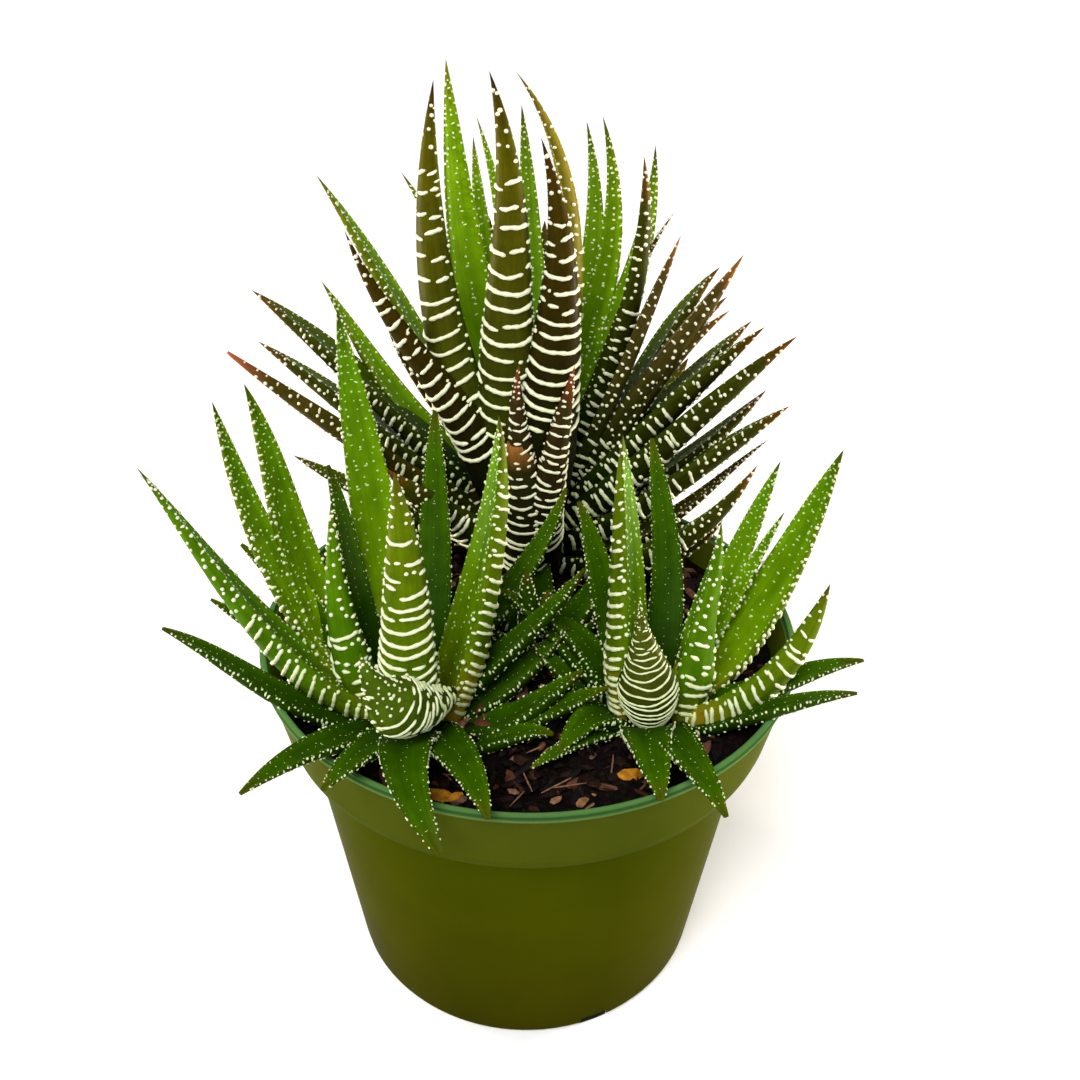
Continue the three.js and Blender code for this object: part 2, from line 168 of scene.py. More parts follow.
# Where the bumps lie: bands and rows of dots on the back, and bumps on the margins and the face
BACK = Group(
    thick_taper=0.22, gap_spread=(0.88, 1.12), whole_drift=0.1, whole_spread=(0.85, 1.12),
    broken_drift=0.25, broken_spread=(0.9, 1.1))
ROW = Group(
    gap=0.65, columns_least=2, inset=0.16, pair_inset=(0.2, 0.4), drift=0.6, turn=0.16,
    spread=(0.75, 1.2), dashes=0.25, dash=(0.7, 1.1), dash_thick=0.9)
EDGE = Group(
    end=0.97, drift=0.4, taper=0.35, spread=(0.75, 1.15), turn=(-0.04, 0.14), dashes=0.45,
    dash_end=0.85, dash_turn=(0.1, 0.25), dash=(0.6, 1.1), dash_thick=0.8)
FACE = Group(
    start=(0.06, 0.12), end=0.95, inset=0.6, edge_size=1.1, middle_loss=0.25, spread=(0.55, 1.15),
    turn=0.16, gap=(1.0, 2.5), dash=(0.5, 0.9), dash_thick=0.85)

# Seeds of the leaves: a leaf's draw also has its rosette and its number as a seed
LEAF_SEED = 4
SMALL_LEAF_SEED = 10
CENTRE_SEED = 9

# A leaf's row, in degrees and mm: its heading, its foot's distance from the rosette's axis and
# height over the soil, the way to its tip (along the heading, to the left of it, up), its width,
# how far the two middle control points of its centre line bulge to its back and sway to its left,
# its look, and where they aren't nought, its roll and its turn away from the heading of its foot
BACK_LEAVES = [
    (125, 4, 29, 31, -1, 81, 12, 9, 4, 2, 1, "fresh"),
    (222, 5, 27, 7, -16, 84, 14.5, 12, 9, 1, -2, "olive"),
    (260, 4, 27, 5, -7, 88, 13.5, 10, 4, -6, 8, "olive"),
    (10, 4, 29, -6, 13, 82, 11, 2, 16, 5, 1, "golden"),
    (280, 5, 23, 1, 0, 80, 16, 12, 6, -3, 9, "brown"),
    (62, 4, 29, 32, 3, 69, 9, 9, 7, -1, -11, "mossy"),
    (10, 4, 27, 18, 1, 70, 9.5, 7, 8, 3, 2, "dark", 25),
    (12, 4, 25, 26, 2, 60, 8, 5, -4, 3, 4, "brown"),
    (25, 5, 21, 41, 1, 48, 11.5, 6, -4, 0, 4, "dark", 20),
    (5, 5, 23, 39, 2, 54, 12, 1, -1, 4, 1, "tan", 20),
    (22, 5, 17, 48, -1, 40, 10.5, 3, -2, 2, 2, "dark", 20),
    (0, 5, 19, 44, 1, 44, 12.5, 0, -4, 2, 1, "dark", 20),
    (352, 5, 17, 50, 4, 46, 12.5, 3, -3, 1, 2, "dark", 20),
    (357, 5, 11, 51, 1, 35, 12, 4, -1, 0, 2, "dark", 20),
    (350, 5, 7, 45, 2, 27, 11.5, 10, 7, -5, -5, "dark", 20),
    (168, 5, 19, 58, 1, 46, 12, 2, -4, -2, -2, "dark", -12),
    (160, 5, 21, 46, -1, 44, 10, 9, 3, 2, 0, "fresh"),
    (170, 5, 15, 57, 1, 39, 11.5, 2, -2, -2, -3, "dark", -20),
    (195, 5, 13, 58, -10, 46, 12, 0, -1, -2, 1, "rusty", -18),
    (212, 5, 17, 22, -14, 45, 10, -6, 2, 2, 0, "brown"),
    (158, 5, 23, 46, -1, 65, 12, 3, -2, -3, -3, "fresh", -17),
    (222, 5, 19, 27, -20, 66, 16, -6, 5, 10, 3, "brown"),
    (268, 6, 7, 12, -2, 55, 8.5, 10, 4, 6, -3, "shaded"),
    (255, 6, 5, 12, 2, 40, 12.5, 8, 2, 2, 3, "cut"),
    (295, 6, 6, 14, 0, 56, 10, 9, 3, -8, -4, "shaded"),
    (92, 4, 29, 48, 2, 67, 9, 5, 2, -1, -2, "mossy"),
    (70, 5, 15, 46, 0, 34, 12, 6, 2, 0, 0, "dark"),
    (95, 5, 11, 50, 0, 32, 12, 6, 2, 0, 0, "dark"),
    (118, 5, 13, 47, 0, 36, 12, 6, 2, 0, 0, "dark"),
]
LEFT_LEAVES = [
    (178, 6, 4, 44, -7, 48, 13.5, 9, 3, 0, -2, "dotted", -21),
    (150, 6, 3, 41, -3, 54, 10, 14, 5, 1, 2, "bright", -8),
    (138, 6, 3, 41, -1, 55, 12, 17, 3, 4, -2, "bright", -14),
    (115, 5, 4, 40, -3, 66, 12, 11, 3, -3, -1, "bright"),
    (265, 4, 2, -5, -1, 54, 12, 7, 4, 2, 3, "bright"),
    (163, 8.5, 2.7, -0.7, -10.8, 40.5, 9.5, 4.5, 4.5, 1.9, 3, "dotted", -20, 59),
    (85, 4, 5, 38, 1, 43, 8.5, 8, 4, -3, 0, "deep"),
    (0, 5, 3, 12, 18, 56, 14, 1, 3, 1, 1, "bright", -17),
    (313, 11, 12, 15.5, -6.8, 18.5, 11.5, 5.3, 9.3, 1.9, 1, "studded", -90, -73),
    (192, 6, 1, 39, -2, 26, 7.5, 8, -1, 1, 0, "deep"),
    (230, 6, 1, 38, 4, 13, 7.5, -5, -6, 1, 0, "deep"),
    (281, 6, 1, 38, 1, 6, 11, -9, -14, -2, -8, "deep"),
    (345, 6, 1, 27, 8, 12, 9.5, 7, 1, -4, 0, "deep"),
    (0, 5, 3, 29, 10, 27, 8, 2, 2, 4, 1, "deep"),
    (40, 5, 4, 38, 4, 32, 7.5, 4, 4, 4, -2, "deep"),
]
RIGHT_LEAVES = [
    (265, 5, 2, 0, -4, 31, 12, 6, 0, 1, 0, "curled"),
    (215, 4, 4, -5, -15, 53, 13, 1, -1, 5, 1, "bright", 58),
    (85, 4, 5, 34, 3, 38, 7.6, 8, 3, -6, -3, "deep"),
    (45, 5, 4, 34, 2, 39, 8, 9, 2, 2, 1, "bright"),
    (30, 5, 3, 40, 3, 45, 12, 12, 4, 0, 0, "bright"),
    (350, 5, 3, 5, 12, 37, 15, -4, 1, -1, 0, "dotted"),
    (345, 6, 3, 25, 11, 28, 12, 9, 5, 1, -2, "bright", 32),
    (325, 6, 1, 31, 13, 14, 7, 1, -3, -2, -1, "deep"),
    (275, 6, 1, 28, -4, 9, 10.5, -8, -7, -4, -1, "deep"),
    (292, 6, 1, 33, -5, 9, 8.5, -8, -9, -4, -2, "deep"),
]

# Leaves too thin or too hidden to be CAD nodes
BACK_FILLERS = [
    (214, 5, 13, 31, 0, 26, 14, 2, 0, 0, 0, "dark", -15),
    (110, 4, 29, 45, -2, 61, 8, 6, 1, 1, 2, "fresh"),
    (104, 4, 29, 47, 2, 65, 6, 6, 3, -1, -6, "fresh"),
    (75, 4, 29, 43, 1, 65, 8.5, 7, 3, -5, -9, "mossy"),
    (50, 4, 29, 35, -1, 64, 9.5, 7, 5, -1, -7, "mossy"),
    (350, 4, 23, 25, 8, 59, 8, 3, -1, 0, -2, "tan"),
    (24, 5, 19, 42, -1, 44, 9.5, 3, -4, 1, 4, "dark", 20),
    (0, 5, 19, 37, 5, 46, 9.5, 1, -7, 1, 2, "tan", 20),
    (5, 5, 15, 36, 3, 33, 9, -2, -4, 3, 3, "dark"),
    (12, 5, 13, 49, -1, 31, 9.5, 5, 2, -1, -1, "dark", 20),
    (5, 5, 9, 49, -1, 26, 7.5, 12, 3, -6, -1, "brown"),
    (0, 5, 5, 39, -3, 12, 9.5, 3, 7, -1, -4, "dark", 20),
    (172, 5, 17, 34, -2, 26, 8, 4, -1, 0, -1, "tan"),
    (170, 5, 7, 51, 3, 20, 7.5, 3, 1, 0, 0, "dark"),
    (135, 4, 27, 36, 2, 60, 8, 3, -3, -1, -6, "olive"),
    (215, 6, 7, 6, -8, 23, 6, 4, 1, 0, 0, "shaded"),
    (60, 5, 9, 42, 2, 22, 10.5, 8, 3, 0, 0, "dark"),
    (82, 5, 6, 45, -2, 18, 10.5, 8, 2, 0, 0, "dark"),
    (106, 5, 8, 44, 2, 21, 10.5, 8, 3, 0, 0, "dark"),
    (130, 5, 6, 45, 0, 18, 10.5, 8, 2, 0, 0, "dark"),
    (84, 4, 22, 44, 3, 48, 10.5, 7, 2, 0, 0, "dark"),
    (108, 4, 22, 42, -3, 50, 10.5, 7, 2, 0, 0, "dark"),
    (148, 5, 11, 46, 2, 26, 10.5, 7, 2, 0, 0, "dark"),
    (40, 5, 12, 44, 0, 30, 10.5, 7, 2, 0, 0, "dark"),
]
LEFT_FILLERS = [
    (155, 5, 3, 19, -12, 43, 8, 6, 0, -3, -2, "deep"),
    (248, 6, 2, 30, 2, 11, 7.5, -3, -5, 2, 1, "deep"),
    (296, 6, 2, 35, -1, 8, 9.5, -5, -8, 0, 1, "deep"),
    (332, 6, 1, 24, 4, 4, 8, 5, -4, -6, 0, "deep"),
    (355, 5, 2, 34, 0, 9, 9, 6, 1, -2, -1, "deep"),
    (165, 5, 3, 36, 2, 19, 6, 3, 1, -1, -1, "deep"),
    (140, 5, 3, 35, 8, 25, 7, 4, 1, -1, -2, "deep"),
    (8, 5, 1, 27, 6, 14, 9, 5, 2, 0, 0, "deep"),
]
RIGHT_FILLERS = [
    (38, 5, 3, 30, 1, 32, 5, 4, 1, 0, 1, "bright"),
    (8, 6, 1, 36, -4, 12, 7.5, -1, -4, -5, 0, "deep"),
    (228, 6, 1, 19, -3, 3, 8, -7, -6, -3, -1, "deep"),
    (223, 6, 1, 25, -2, 2, 5, -2, -4, 0, 1, "deep"),
    (165, 5, 2, 19, -4, 15, 10, 0, -3, -4, -3, "deep"),
    (162, 5, 3, 29, -3, 18, 7.5, 2, -2, -1, -3, "deep"),
    (118, 5, 4, 27, 0, 29, 8, 6, 1, 0, -2, "deep"),
    (168, 5, 1, 20, -1, 12, 7, 3, 1, 0, 0, "deep"),
]
CENTRE_LEAVES = [
    (100, 2, 3, 12, 0, 22, 8, 5, 2, 0, 0, "deep"),
    (165, 2, 3, 14, 0, 16, 7, 4, 1, 0, 0, "deep"),
    (20, 2, 3, 14, 0, 17, 8, 4, 1, 0, 0, "deep"),
    (275, 2, 3, 8, 0, 18, 8, 5, 2, 0, 0, "deep"),
    (225, 2, 2, 14, 0, 10, 6.5, 3, 0, 0, 0, "deep"),
    (320, 2, 2, 13, 0, 12, 6.5, 3, 0, 0, 0, "deep"),
    (250, 2, 2, 11, 1, 25, 6.5, 3, 1, 0, 0, "deep"),
]

# Name, place of the axis in mm, and leaves of each rosette
ROSETTES = [
    ("back", (0, 29), BACK_LEAVES, BACK_FILLERS),
    ("left", (-23, -23), LEFT_LEAVES, LEFT_FILLERS),
    ("right", (25, -21), RIGHT_LEAVES, RIGHT_FILLERS),
]
CENTRE_AT = (3, 2)


@dataclass
class Look:
    """How a leaf is coloured, marked and shaped. Gaps and sizes are in mm, the rest are shares."""

    back: str  # hex sRGB colours at COLOUR_PLACES
    face: str
    gaps: tuple  # between bands, at the foot and at the tip
    zones: tuple  # how far up the bands are whole, and in pieces
    split: float = 0.28  # how many of the whole bands are in pieces all the same
    start: float = 0.04  # where the bands start
    rows: float = 0.97  # where the rows of dots end
    thick: float = 0.5  # half the width of a band
    column: float = 2.3  # width of leaf for each dot of a row
    tint: float = 0.1  # how green the bumps of the back and margins are
    fine: float = 0.2  # how green the bumps of the face are
    face_dots: int = 3  # columns of bumps on the face
    face_size: float = 0.28  # their radius
    face_dash: float = 0.3  # how many of them are dashes
    edge_gap: float = 2.6  # between bumps of a margin
    edge_size: float = 0.5  # their radius
    foot: float = 0.8  # width at the foot
    hold: float = 0.4  # how much of its width it holds towards the tip
    tip: float = 0  # width at the tip
    widest: float = 0.22  # where it is widest


# The near-black colours at the foot of the deep, dark, brown, olive, tan, shaded, cut and rusty looks
# are painted shade down in the rosette
COLOUR_PLACES = (0.0, 0.25, 0.86, 1.0)
LOOKS = dict(
    fresh=Look(
        "303c04 445404 5c6808 6a5014", "3c5404 5c8404 6c9408 6a6414", (3.2, 3.4), (0.25, 0.45),
        start=0.05, rows=0.96, thick=0.46, tint=0.15, fine=0.8, face_size=0.38, face_dash=0.35,
        edge_gap=2.3, edge_size=0.46, hold=0.3),
    mossy=Look(
        "4c6c04 548004 5c7408 44380c", "4c7404 588404 5c7c08 44380c", (3.8, 4.2), (0.55, 0.8),
        start=0.05, rows=0.96, fine=0.6, face_size=0.42, face_dash=0.6, hold=0.3),
    olive=Look(
        "0c1002 343c08 504c04 34200c", "2c4004 4c6c08 5c7c08 4c3810", (2.9, 4.4), (0.6, 0.82),
        start=0.2, thick=0.56, tint=0, fine=0.6, face_dots=4, edge_size=0.52, foot=0.9, hold=0.22),
    golden=Look(
        "30380a 5a5a0c 7c7020 6c5428", "3c5a0c 5c7010 6c6418 5c4420", (3.0, 3.6), (0.35, 0.6),
        start=0.05, fine=0.3),
    brown=Look(
        "060602 121404 3a2e04 40240c", "141c04 343c04 443404 4c280c", (2.3, 3.2), (0.6, 0.85),
        start=0.33, thick=0.56, tint=0, fine=0.3, face_dash=0.2, edge_gap=2.4, edge_size=0.48,
        foot=0.9, hold=0.04),
    dark=Look(
        "060a02 1c2804 383a06 784410", "101c04 2c4404 4c5c08 5c3c14", (2.4, 2.9), (0.35, 0.6),
        thick=0.54, tint=0.05, fine=0.3, face_size=0.3, face_dash=0.15, edge_gap=2.3,
        edge_size=0.52, hold=0.62),
    tan=Look(
        "0c1002 242c08 4c401a 9c6028", "1c2404 343c0c 64501c a06c30", (2.8, 3.6), (0.15, 0.3),
        rows=0.95, thick=0.48, tint=0, face_dots=2, face_size=0.24, face_dash=0.05,
        edge_size=0.46, hold=0.6),
    shaded=Look(
        "060602 0e0c06 382c14 8c4018", "101404 24280a 44300c 602408", (1.7, 2.2), (0.5, 0.85),
        start=0.3, rows=0.98, thick=0.42, face_dots=2, face_size=0.24, face_dash=0.2,
        edge_gap=1.9, edge_size=0.38, foot=0.85, hold=0.35),
    bright=Look(
        "a48814 4c6804 586c04 50480a", "74800c 688c04 588408 445008", (1.6, 3.2), (0.58, 0.8),
        start=0.03, tint=0.12, fine=1.0, face_dots=5, face_size=0.33, face_dash=0.35,
        edge_gap=2.1, edge_size=0.56),
    dotted=Look(
        "5c6c0c 446c04 4c7404 445008", "74800c 5c8804 4c8008 445008", (2.2, 3.4), (0.2, 0.5),
        split=0.5, start=0.03, thick=0.52, tint=0.12, fine=0.7, face_dots=4, face_size=0.33,
        edge_gap=2.1, edge_size=0.56, hold=0.1),
    deep=Look(
        "080a00 1c3400 2c4800 443c08", "0a1000 264600 385a00 484e08", (2.0, 2.4), (0.08, 0.25),
        start=0.03, rows=0.96, thick=0.3, column=3.2, tint=0.45, fine=0.8, face_size=0.14,
        face_dash=0.04, edge_gap=1.05, edge_size=0.34, hold=0.45, tip=0.1),
    curled=Look(
        "341404 34360a 4a5410 5c4c10", "50700c 548008 507808 5a5410", (1.5, 0.8), (0.6, 0.74),
        split=0, rows=0.9, thick=0.26, tint=0.45, fine=0.6, face_size=0.2, face_dash=0.2,
        edge_gap=1.5, edge_size=0.3, foot=0.3, hold=-0.35, widest=0.4),
    studded=Look(
        "40400c 3c4c0c 445c0c 4c6808", "50700c 548008 507808 5a5410", (1.2, 1.5), (0.0, 0.62),
        split=0.6, start=0.02, thick=0.38, column=1.3, tint=0.3, fine=0.6, face_size=0.2,
        edge_gap=0.95, foot=0.35, hold=0, widest=0.55),
    cut=Look(
        "060602 10120a 28280e 94602c", "060602 10120a 34240c 94602c", (1.9, 2.3), (0.6, 0.9),
        start=0.3, rows=0.955, thick=0.46, face_dots=2, face_size=0.24, face_dash=0.2,
        edge_gap=2.0, edge_size=0.38, foot=0.9, hold=0.3, tip=0.38),
    rusty=Look(
        "100c02 2c2c08 4c4010 b05c3c", "1c2404 3c4408 5c4c18 b05c3c", (2.5, 3.0), (0.25, 0.45),
        rows=0.9, tint=0, face_dots=2, face_size=0.26, face_dash=0.1, tip=0.1),
)

# Linear tones that multiply a colour, from the low to the high end of a noise
MOTTLE_ENDS = (0.3, 0.7)
LEAF_MOTTLE = [0.72, (1.2, 1.2, 1.1)]
LEAF_STREAKS = [(0.7, 0.74, 0.7), (1.25, 1.2, 1.1)]
BUMP_GRAIN = [(0.9, 0.9, 0.85), 1]
POT_CLOUD = [0.88, (1.08, 1.08, 1.05)]
BARK_GRAIN = [0.5, (1.3, 1.25, 1.2)]

# Linear tones round a leaf, painted shade and highlight: darker at both margins and in the hollow middle
# of the face, and lighter on the face to each side of that hollow. They run over the back from 0 to a
# half, and over the face from there to 1
ROUND_SHADE_AND_HIGHLIGHT = [
    (0.0, 0.8), (0.12, 1), (0.38, 1), (0.5, 0.78), (0.62, (1.1, 1.1, 1.0)),
    (0.75, (0.86, 0.88, 0.86)), (0.88, (1.1, 1.1, 1.0)), (1.0, 0.78),
]
STREAK_STRETCH = 0.12

# Ramps of hex sRGB colours: the bumps from foot to tip, the pot from foot to rim, with painted
# highlights as the light lines of its lip, the bark by the tone of the chip, and the soil and the stems
# by a noise
BUMP_COLOURS = [(0.0, "d8e4a4"), (0.3, "f0f6cc"), (1.0, "f4ecd8")]
GREEN_BUMPS = "c8e090"
POT_COLOURS_AND_LIP_HIGHLIGHTS = [
    (0.0, "343400"), (0.5, "3e4200"), (0.79, "3c4400"), (0.8, "464e0c"), (0.982, "485010"),
    # From 0.986 up, the light lines are painted highlights along the lip, with darker green between them
    (0.986, "6c8c50"), (0.99, "345828"), (0.996, "2c4c24"), (1.0, "5c8848"),
]
SOIL_COLOURS = [(0.35, "020101"), (0.55, "0c0604"), (0.75, "24140c")]
BARK_COLOURS = [(0.0, "060302"), (0.5, "22100a"), (0.76, "583220"), (0.93, "946c54"), (1.0, "b87c18")]
STEM_COLOURS = [(0.3, "3a2a14"), (0.7, "7a6438")]
FLOOR_SHADES = [(0.0, 0.985), (1.0, 1)]

# Finishes: the roughness, the specular level, and the bump: the scale and detail of its noise, its
# strength and its depth in mm
FINISH = Group(
    leaf=(0.45, 0.015, 2200, 2, 0.25, 0.2),
    bumps=(0.5, 0.5, 3000, 2, 0.2, 0.1),
    pot=(0.35, 0.001, 700, 3, 0.12, 0.2),
    soil=(0.9, 0.1, 900, 4, 0.8, 1),
    bark=(0.75, 0.15, 1200, 3, 0.6, 0.4),
    stem=(0.8, 0.5, 900, 3, 0.5, 0.4),
    floor=(0.9, 0.5),
)

# Material slots of a leaf, where the look is in its row, and sockets of the node that mixes colours
SKIN, BUMPS = 0, 1
LOOK_PLACE = 11
MIX_FACTOR, MIX_FIRST, MIX_SECOND, MIX_RESULT = 0, 6, 7, 2


def unit(vectors):
    """Each row of an array, made one long."""
    return vectors / np.maximum(np.linalg.norm(vectors, axis=-1, keepdims=True), 1e-9)


def heading_vector(degrees):
    """The level direction of a heading."""
    turn = math.radians(degrees)
    return np.array([math.cos(turn), math.sin(turn), 0.0])


def linear(code):
    """A hex sRGB colour as linear values with alpha."""
    shares = [int(code[start:start + 2], 16) / 255 for start in (0, 2, 4)]
    straight = [c / 12.92 if c <= 0.04045 else ((c + 0.055) / 1.055) ** 2.4 for c in shares]
    return (*straight, 1.0)


class Leaf:
    """One leaf's shape: its centre line, its width and its section, in metres."""

    def __init__(self, at, row):
        heading, foot_radius, foot_height, out, side, rise, width, *bulges, look = row[:12]
        roll, turned = (*row[12:], 0, 0)[:2]
        self.low_arch, self.high_arch, self.low_sway, self.high_sway = [n * MM for n in bulges]
        self.look = LOOKS[look]
        self.roll = math.radians(roll)
        foot = np.array([at[0], at[1], SOIL_TOP + foot_height]) * MM
        self.foot = foot + heading_vector(heading) * foot_radius * MM
        outward = heading_vector(heading + turned)
        self.left = np.array([-outward[1], outward[0], 0.0])
        self.chord = (outward * out + self.left * side) * MM
        self.chord[2] = rise * MM
        self.back = unit(np.cross(self.left, self.chord))
        self.width = width * MM
        line = self.centre(np.linspace(0, 1, LENGTH_POINTS))
        self.length = float(np.linalg.norm(np.diff(line, axis=0), axis=1).sum())

    def centre(self, along):
        """Points on the centre line, from the foot at 0 to the tip at 1."""
        along = along[..., None]
        low = 3 * along * (1 - along) ** 2
        high = 3 * along**2 * (1 - along)
        arch = self.back * (self.low_arch * low + self.high_arch * high)
        sway = self.left * (self.low_sway * low + self.high_sway * high)
        return self.foot + self.chord * along + arch + sway

    def wide(self, along):
        """Width at a place along the leaf."""
        look = self.look
        rise = look.foot + (1 - look.foot) * np.sin(np.clip(along / look.widest, 0, 1) * math.pi / 2)
        run = np.clip((along - look.widest) / (1 - look.widest), 0, 1)
        fall = (1 - look.hold) * (1 - run) + look.hold * (1 - run**HOLD_POWER)
        return self.width * np.where(along < look.widest, rise, look.tip + (1 - look.tip) * fall)

    def skin(self, along, turn):
        """Points on the skin. turn goes over the back from 0 to pi, and over the face to 2 pi."""
        along, turn = np.broadcast_arrays(along, turn)
        tangent = unit(self.centre(along + CENTRE_STEP) - self.centre(along - CENTRE_STEP))
        level = unit(self.left - tangent * (tangent @ self.left)[..., None])
        under = np.cross(level, tangent)
        across = level * math.cos(self.roll) + under * math.sin(self.roll)
        keel = np.cross(across, tangent)
        wide = self.wide(along)
        sine = np.sin(turn)
        back = KEEL_DEPTH * np.maximum(sine, 0) ** KEEL_POWER
        deep = np.where(sine > 0, back, FACE_HOLLOW * sine**2)
        sideways = (wide * 0.5 * np.cos(turn))[..., None]
        return self.centre(along) + across * sideways + keel * (wide * deep)[..., None]

    def frame(self, along, turn):
        """Places on the skin with their outward normal and the direction towards the tip."""
        up = unit(self.skin(along + SKIN_STEP, turn) - self.skin(along - SKIN_STEP, turn))
        around = self.skin(along, turn + TURN_STEP) - self.skin(along, turn - TURN_STEP)
        return self.skin(along, turn), unit(np.cross(up, around)), up


class Build:
    """Vertices, faces, and each vertex's values, gathered for one mesh."""

    def __init__(self):
        self.patches = []
        self.faces = []
        self.count = 0

    def add(self, points, faces, slot, along, back=0, fine=0):
        """Adds a patch. along, back and fine are the values its points carry for the material."""
        values = np.empty((*points.shape[:-1], 3))
        values[..., 0], values[..., 1], values[..., 2] = along, back, fine
        self.patches.append((points.reshape(-1, 3), values.reshape(-1, 3), np.full(len(faces), slot)))
        self.faces += [[index + self.count for index in face] for face in faces]
        self.count += len(self.patches[-1][0])

    def mesh(self, name, materials):
        """The object made of everything added."""
        points, values, slots = map(np.concatenate, zip(*self.patches))
        mesh = bpy.data.meshes.new(name)
        mesh.from_pydata(points.tolist(), [], self.faces)
        for column, label in zip(values.T, ("along", "back", "fine")):
            attribute = mesh.attributes.new(label, "FLOAT", "POINT")
            attribute.data.foreach_set("value", column.astype(np.float32))
        for material in materials:
            mesh.materials.append(material)
        mesh.polygons.foreach_set("material_index", slots.astype(np.int32))
        smooth_faces(mesh)
        mesh.update()
        mesh.validate()
        return add_object(name, mesh)


def smooth_faces(mesh, smooth=True):
    """Shades every face of a mesh smooth, or flat."""
    mesh.polygons.foreach_set("use_smooth", np.full(len(mesh.polygons), smooth))


def finish(mesh, material, sharp):
    """Gives a mesh its material and smooth faces, with its edges sharp from an angle on."""
    mesh.materials.append(material)
    smooth_faces(mesh)
    mesh.set_sharp_from_angle(angle=sharp)


def add_object(name, data):
    """A new object in the scene, for a mesh, a light or a camera."""
    thing = bpy.data.objects.new(name, data)
    bpy.context.scene.collection.objects.link(thing)
    return thing


def tube_faces(rings, sides):
    """Quads over rings of points, with the first and last ring closed."""
    faces = []
    for ring in range(rings - 1):
        for side in range(sides):
            a = ring * sides + side
            b = ring * sides + (side + 1) % sides
            faces.append([a, b, b + sides, a + sides])
    faces.append(list(range(sides - 1, -1, -1)))
    faces.append([(rings - 1) * sides + side for side in range(sides)])
    return faces


def dot_faces():
    """Faces of one dot: the wall between its two rings, the crown up to its top, and its base."""
    faces = []
    for side in range(DOT.sides):
        after = (side + 1) % DOT.sides
        faces.append([DOT.sides + side, DOT.sides + after, after, side])
        faces.append([2 * DOT.sides, DOT.sides + after, DOT.sides + side])
    faces.append(list(range(DOT.sides)))
    return faces


def add_skin(build, leaf):
    """The leaf's own skin, closed at the foot and at the tip."""
    along = np.concatenate([[-TUCK], np.linspace(0, 1, LEAF_RINGS - 1) ** RING_POWER])
    along[-1] = SKIN_END
    turn = np.linspace(0, 2 * math.pi, LEAF_SIDES, endpoint=False)
    along, turn = np.meshgrid(along, turn, indexing="ij")
    faces = [face[::-1] for face in tube_faces(LEAF_RINGS, LEAF_SIDES)]
    back = 0.5 + 0.5 * np.clip(np.sin(turn) * EDGE_SHARPNESS, -1, 1)
    build.add(leaf.skin(along, turn), faces, SKIN, np.clip(along, 0, 1), back, turn / (2 * math.pi))


def add_dots(build, leaf, dots, tint):
    """Round bumps on the skin. A dot's row: its place along, its turn and its radius in mm."""
    along, turn, radius = np.array(dots).T
    radius = (radius * MM)[:, None]
    place, normal, up = leaf.frame(along, turn)
    beside = np.cross(normal, up)
    points = []
    for share, lift in DOT.rings:
        for angle in np.linspace(0, 2 * math.pi, DOT.sides, endpoint=False):
            flat = up * math.cos(angle) + beside * math.sin(angle)
            points.append(place + flat * radius * share + normal * radius * lift)
    points.append(place + normal * radius * DOT.top)
    pattern = dot_faces()
    starts = range(0, len(dots) * len(points), len(points))
    faces = [[index + start for index in face] for start in starts for face in pattern]
    build.add(np.stack(points, axis=1), faces, BUMPS, along[:, None], 1, tint)


def add_band(build, leaf, along, start, end, thick, tint, draw):
    """A raised wavy band across the skin at one place along, between two turns."""
    chord = np.linalg.norm(leaf.skin(along, start) - leaf.skin(along, end))
    steps = max(STRIPE.points_least, int(chord * STRIPE.slack / (STRIPE.point_gap * MM)))
    turn = np.linspace(start, end, steps)
    phase, wave = draw.uniform(0, ANY_PHASE), draw.uniform(*STRIPE.wave)
    shift = wave * np.sin(turn * draw.uniform(*STRIPE.wave_turns) + phase)
    shift += STRIPE.ripple * np.sin(turn * STRIPE.ripple_turns + phase)
    shift -= STRIPE.bow * float(leaf.wide(along)) / MM * np.sin(turn)
    place, normal, _ = leaf.frame(along + shift * MM / leaf.length, turn)
    beside = np.cross(normal, unit(np.gradient(place, axis=0)))
    share = np.ones(steps)
    share[0] = share[-1] = STRIPE.end
    share *= 1 + STRIPE.swell * np.sin(np.arange(steps) * STRIPE.swell_step + phase)
    radius = (thick * MM * share)[:, None, None]
    across, lift = np.array(STRIPE.section).T[:, None, :, None]
    points = place[:, None] + radius * (beside[:, None] * across + normal[:, None] * lift)
    build.add(points, tube_faces(steps, len(STRIPE.section)), BUMPS, along, 1, tint)


def add_dash(build, leaf, along, turn, length, thick, tint, draw):
    """A short band centred on one place. length is in mm."""
    half = length / max(float(leaf.wide(along)) / MM, DASH.leaf_least) * DASH.reach
    add_band(build, leaf, along, turn - half, turn + half, thick, tint, draw)


def split_band(draw, pieces):
    """The starts and ends of a band's pieces, as turns over the back."""
    low = PIECE.edges[0] + draw.uniform(0, PIECE.edge_drift)
    high = PIECE.edges[1] - draw.uniform(0, PIECE.edge_drift)
    cuts = np.sort(draw.uniform(low + PIECE.shortest, high - PIECE.shortest, pieces - 1))
    edges = [low, *cuts, high]
    return [
        (start + (PIECE.gap if start > low else 0), end - (PIECE.gap if end < high else 0))
        for start, end in zip(edges[:-1], edges[1:])
        if end - start > PIECE.shortest
    ]


def add_bands(build, leaf, along, pieces, drift, thick, draw):
    """The pieces of one band over the back. drift and thick are the ranges of their draws."""
    for start, end in split_band(draw, pieces):
        place = along + draw.uniform(-drift, drift)
        add_band(build, leaf, place, start, end, draw.uniform(*thick), leaf.look.tint, draw)


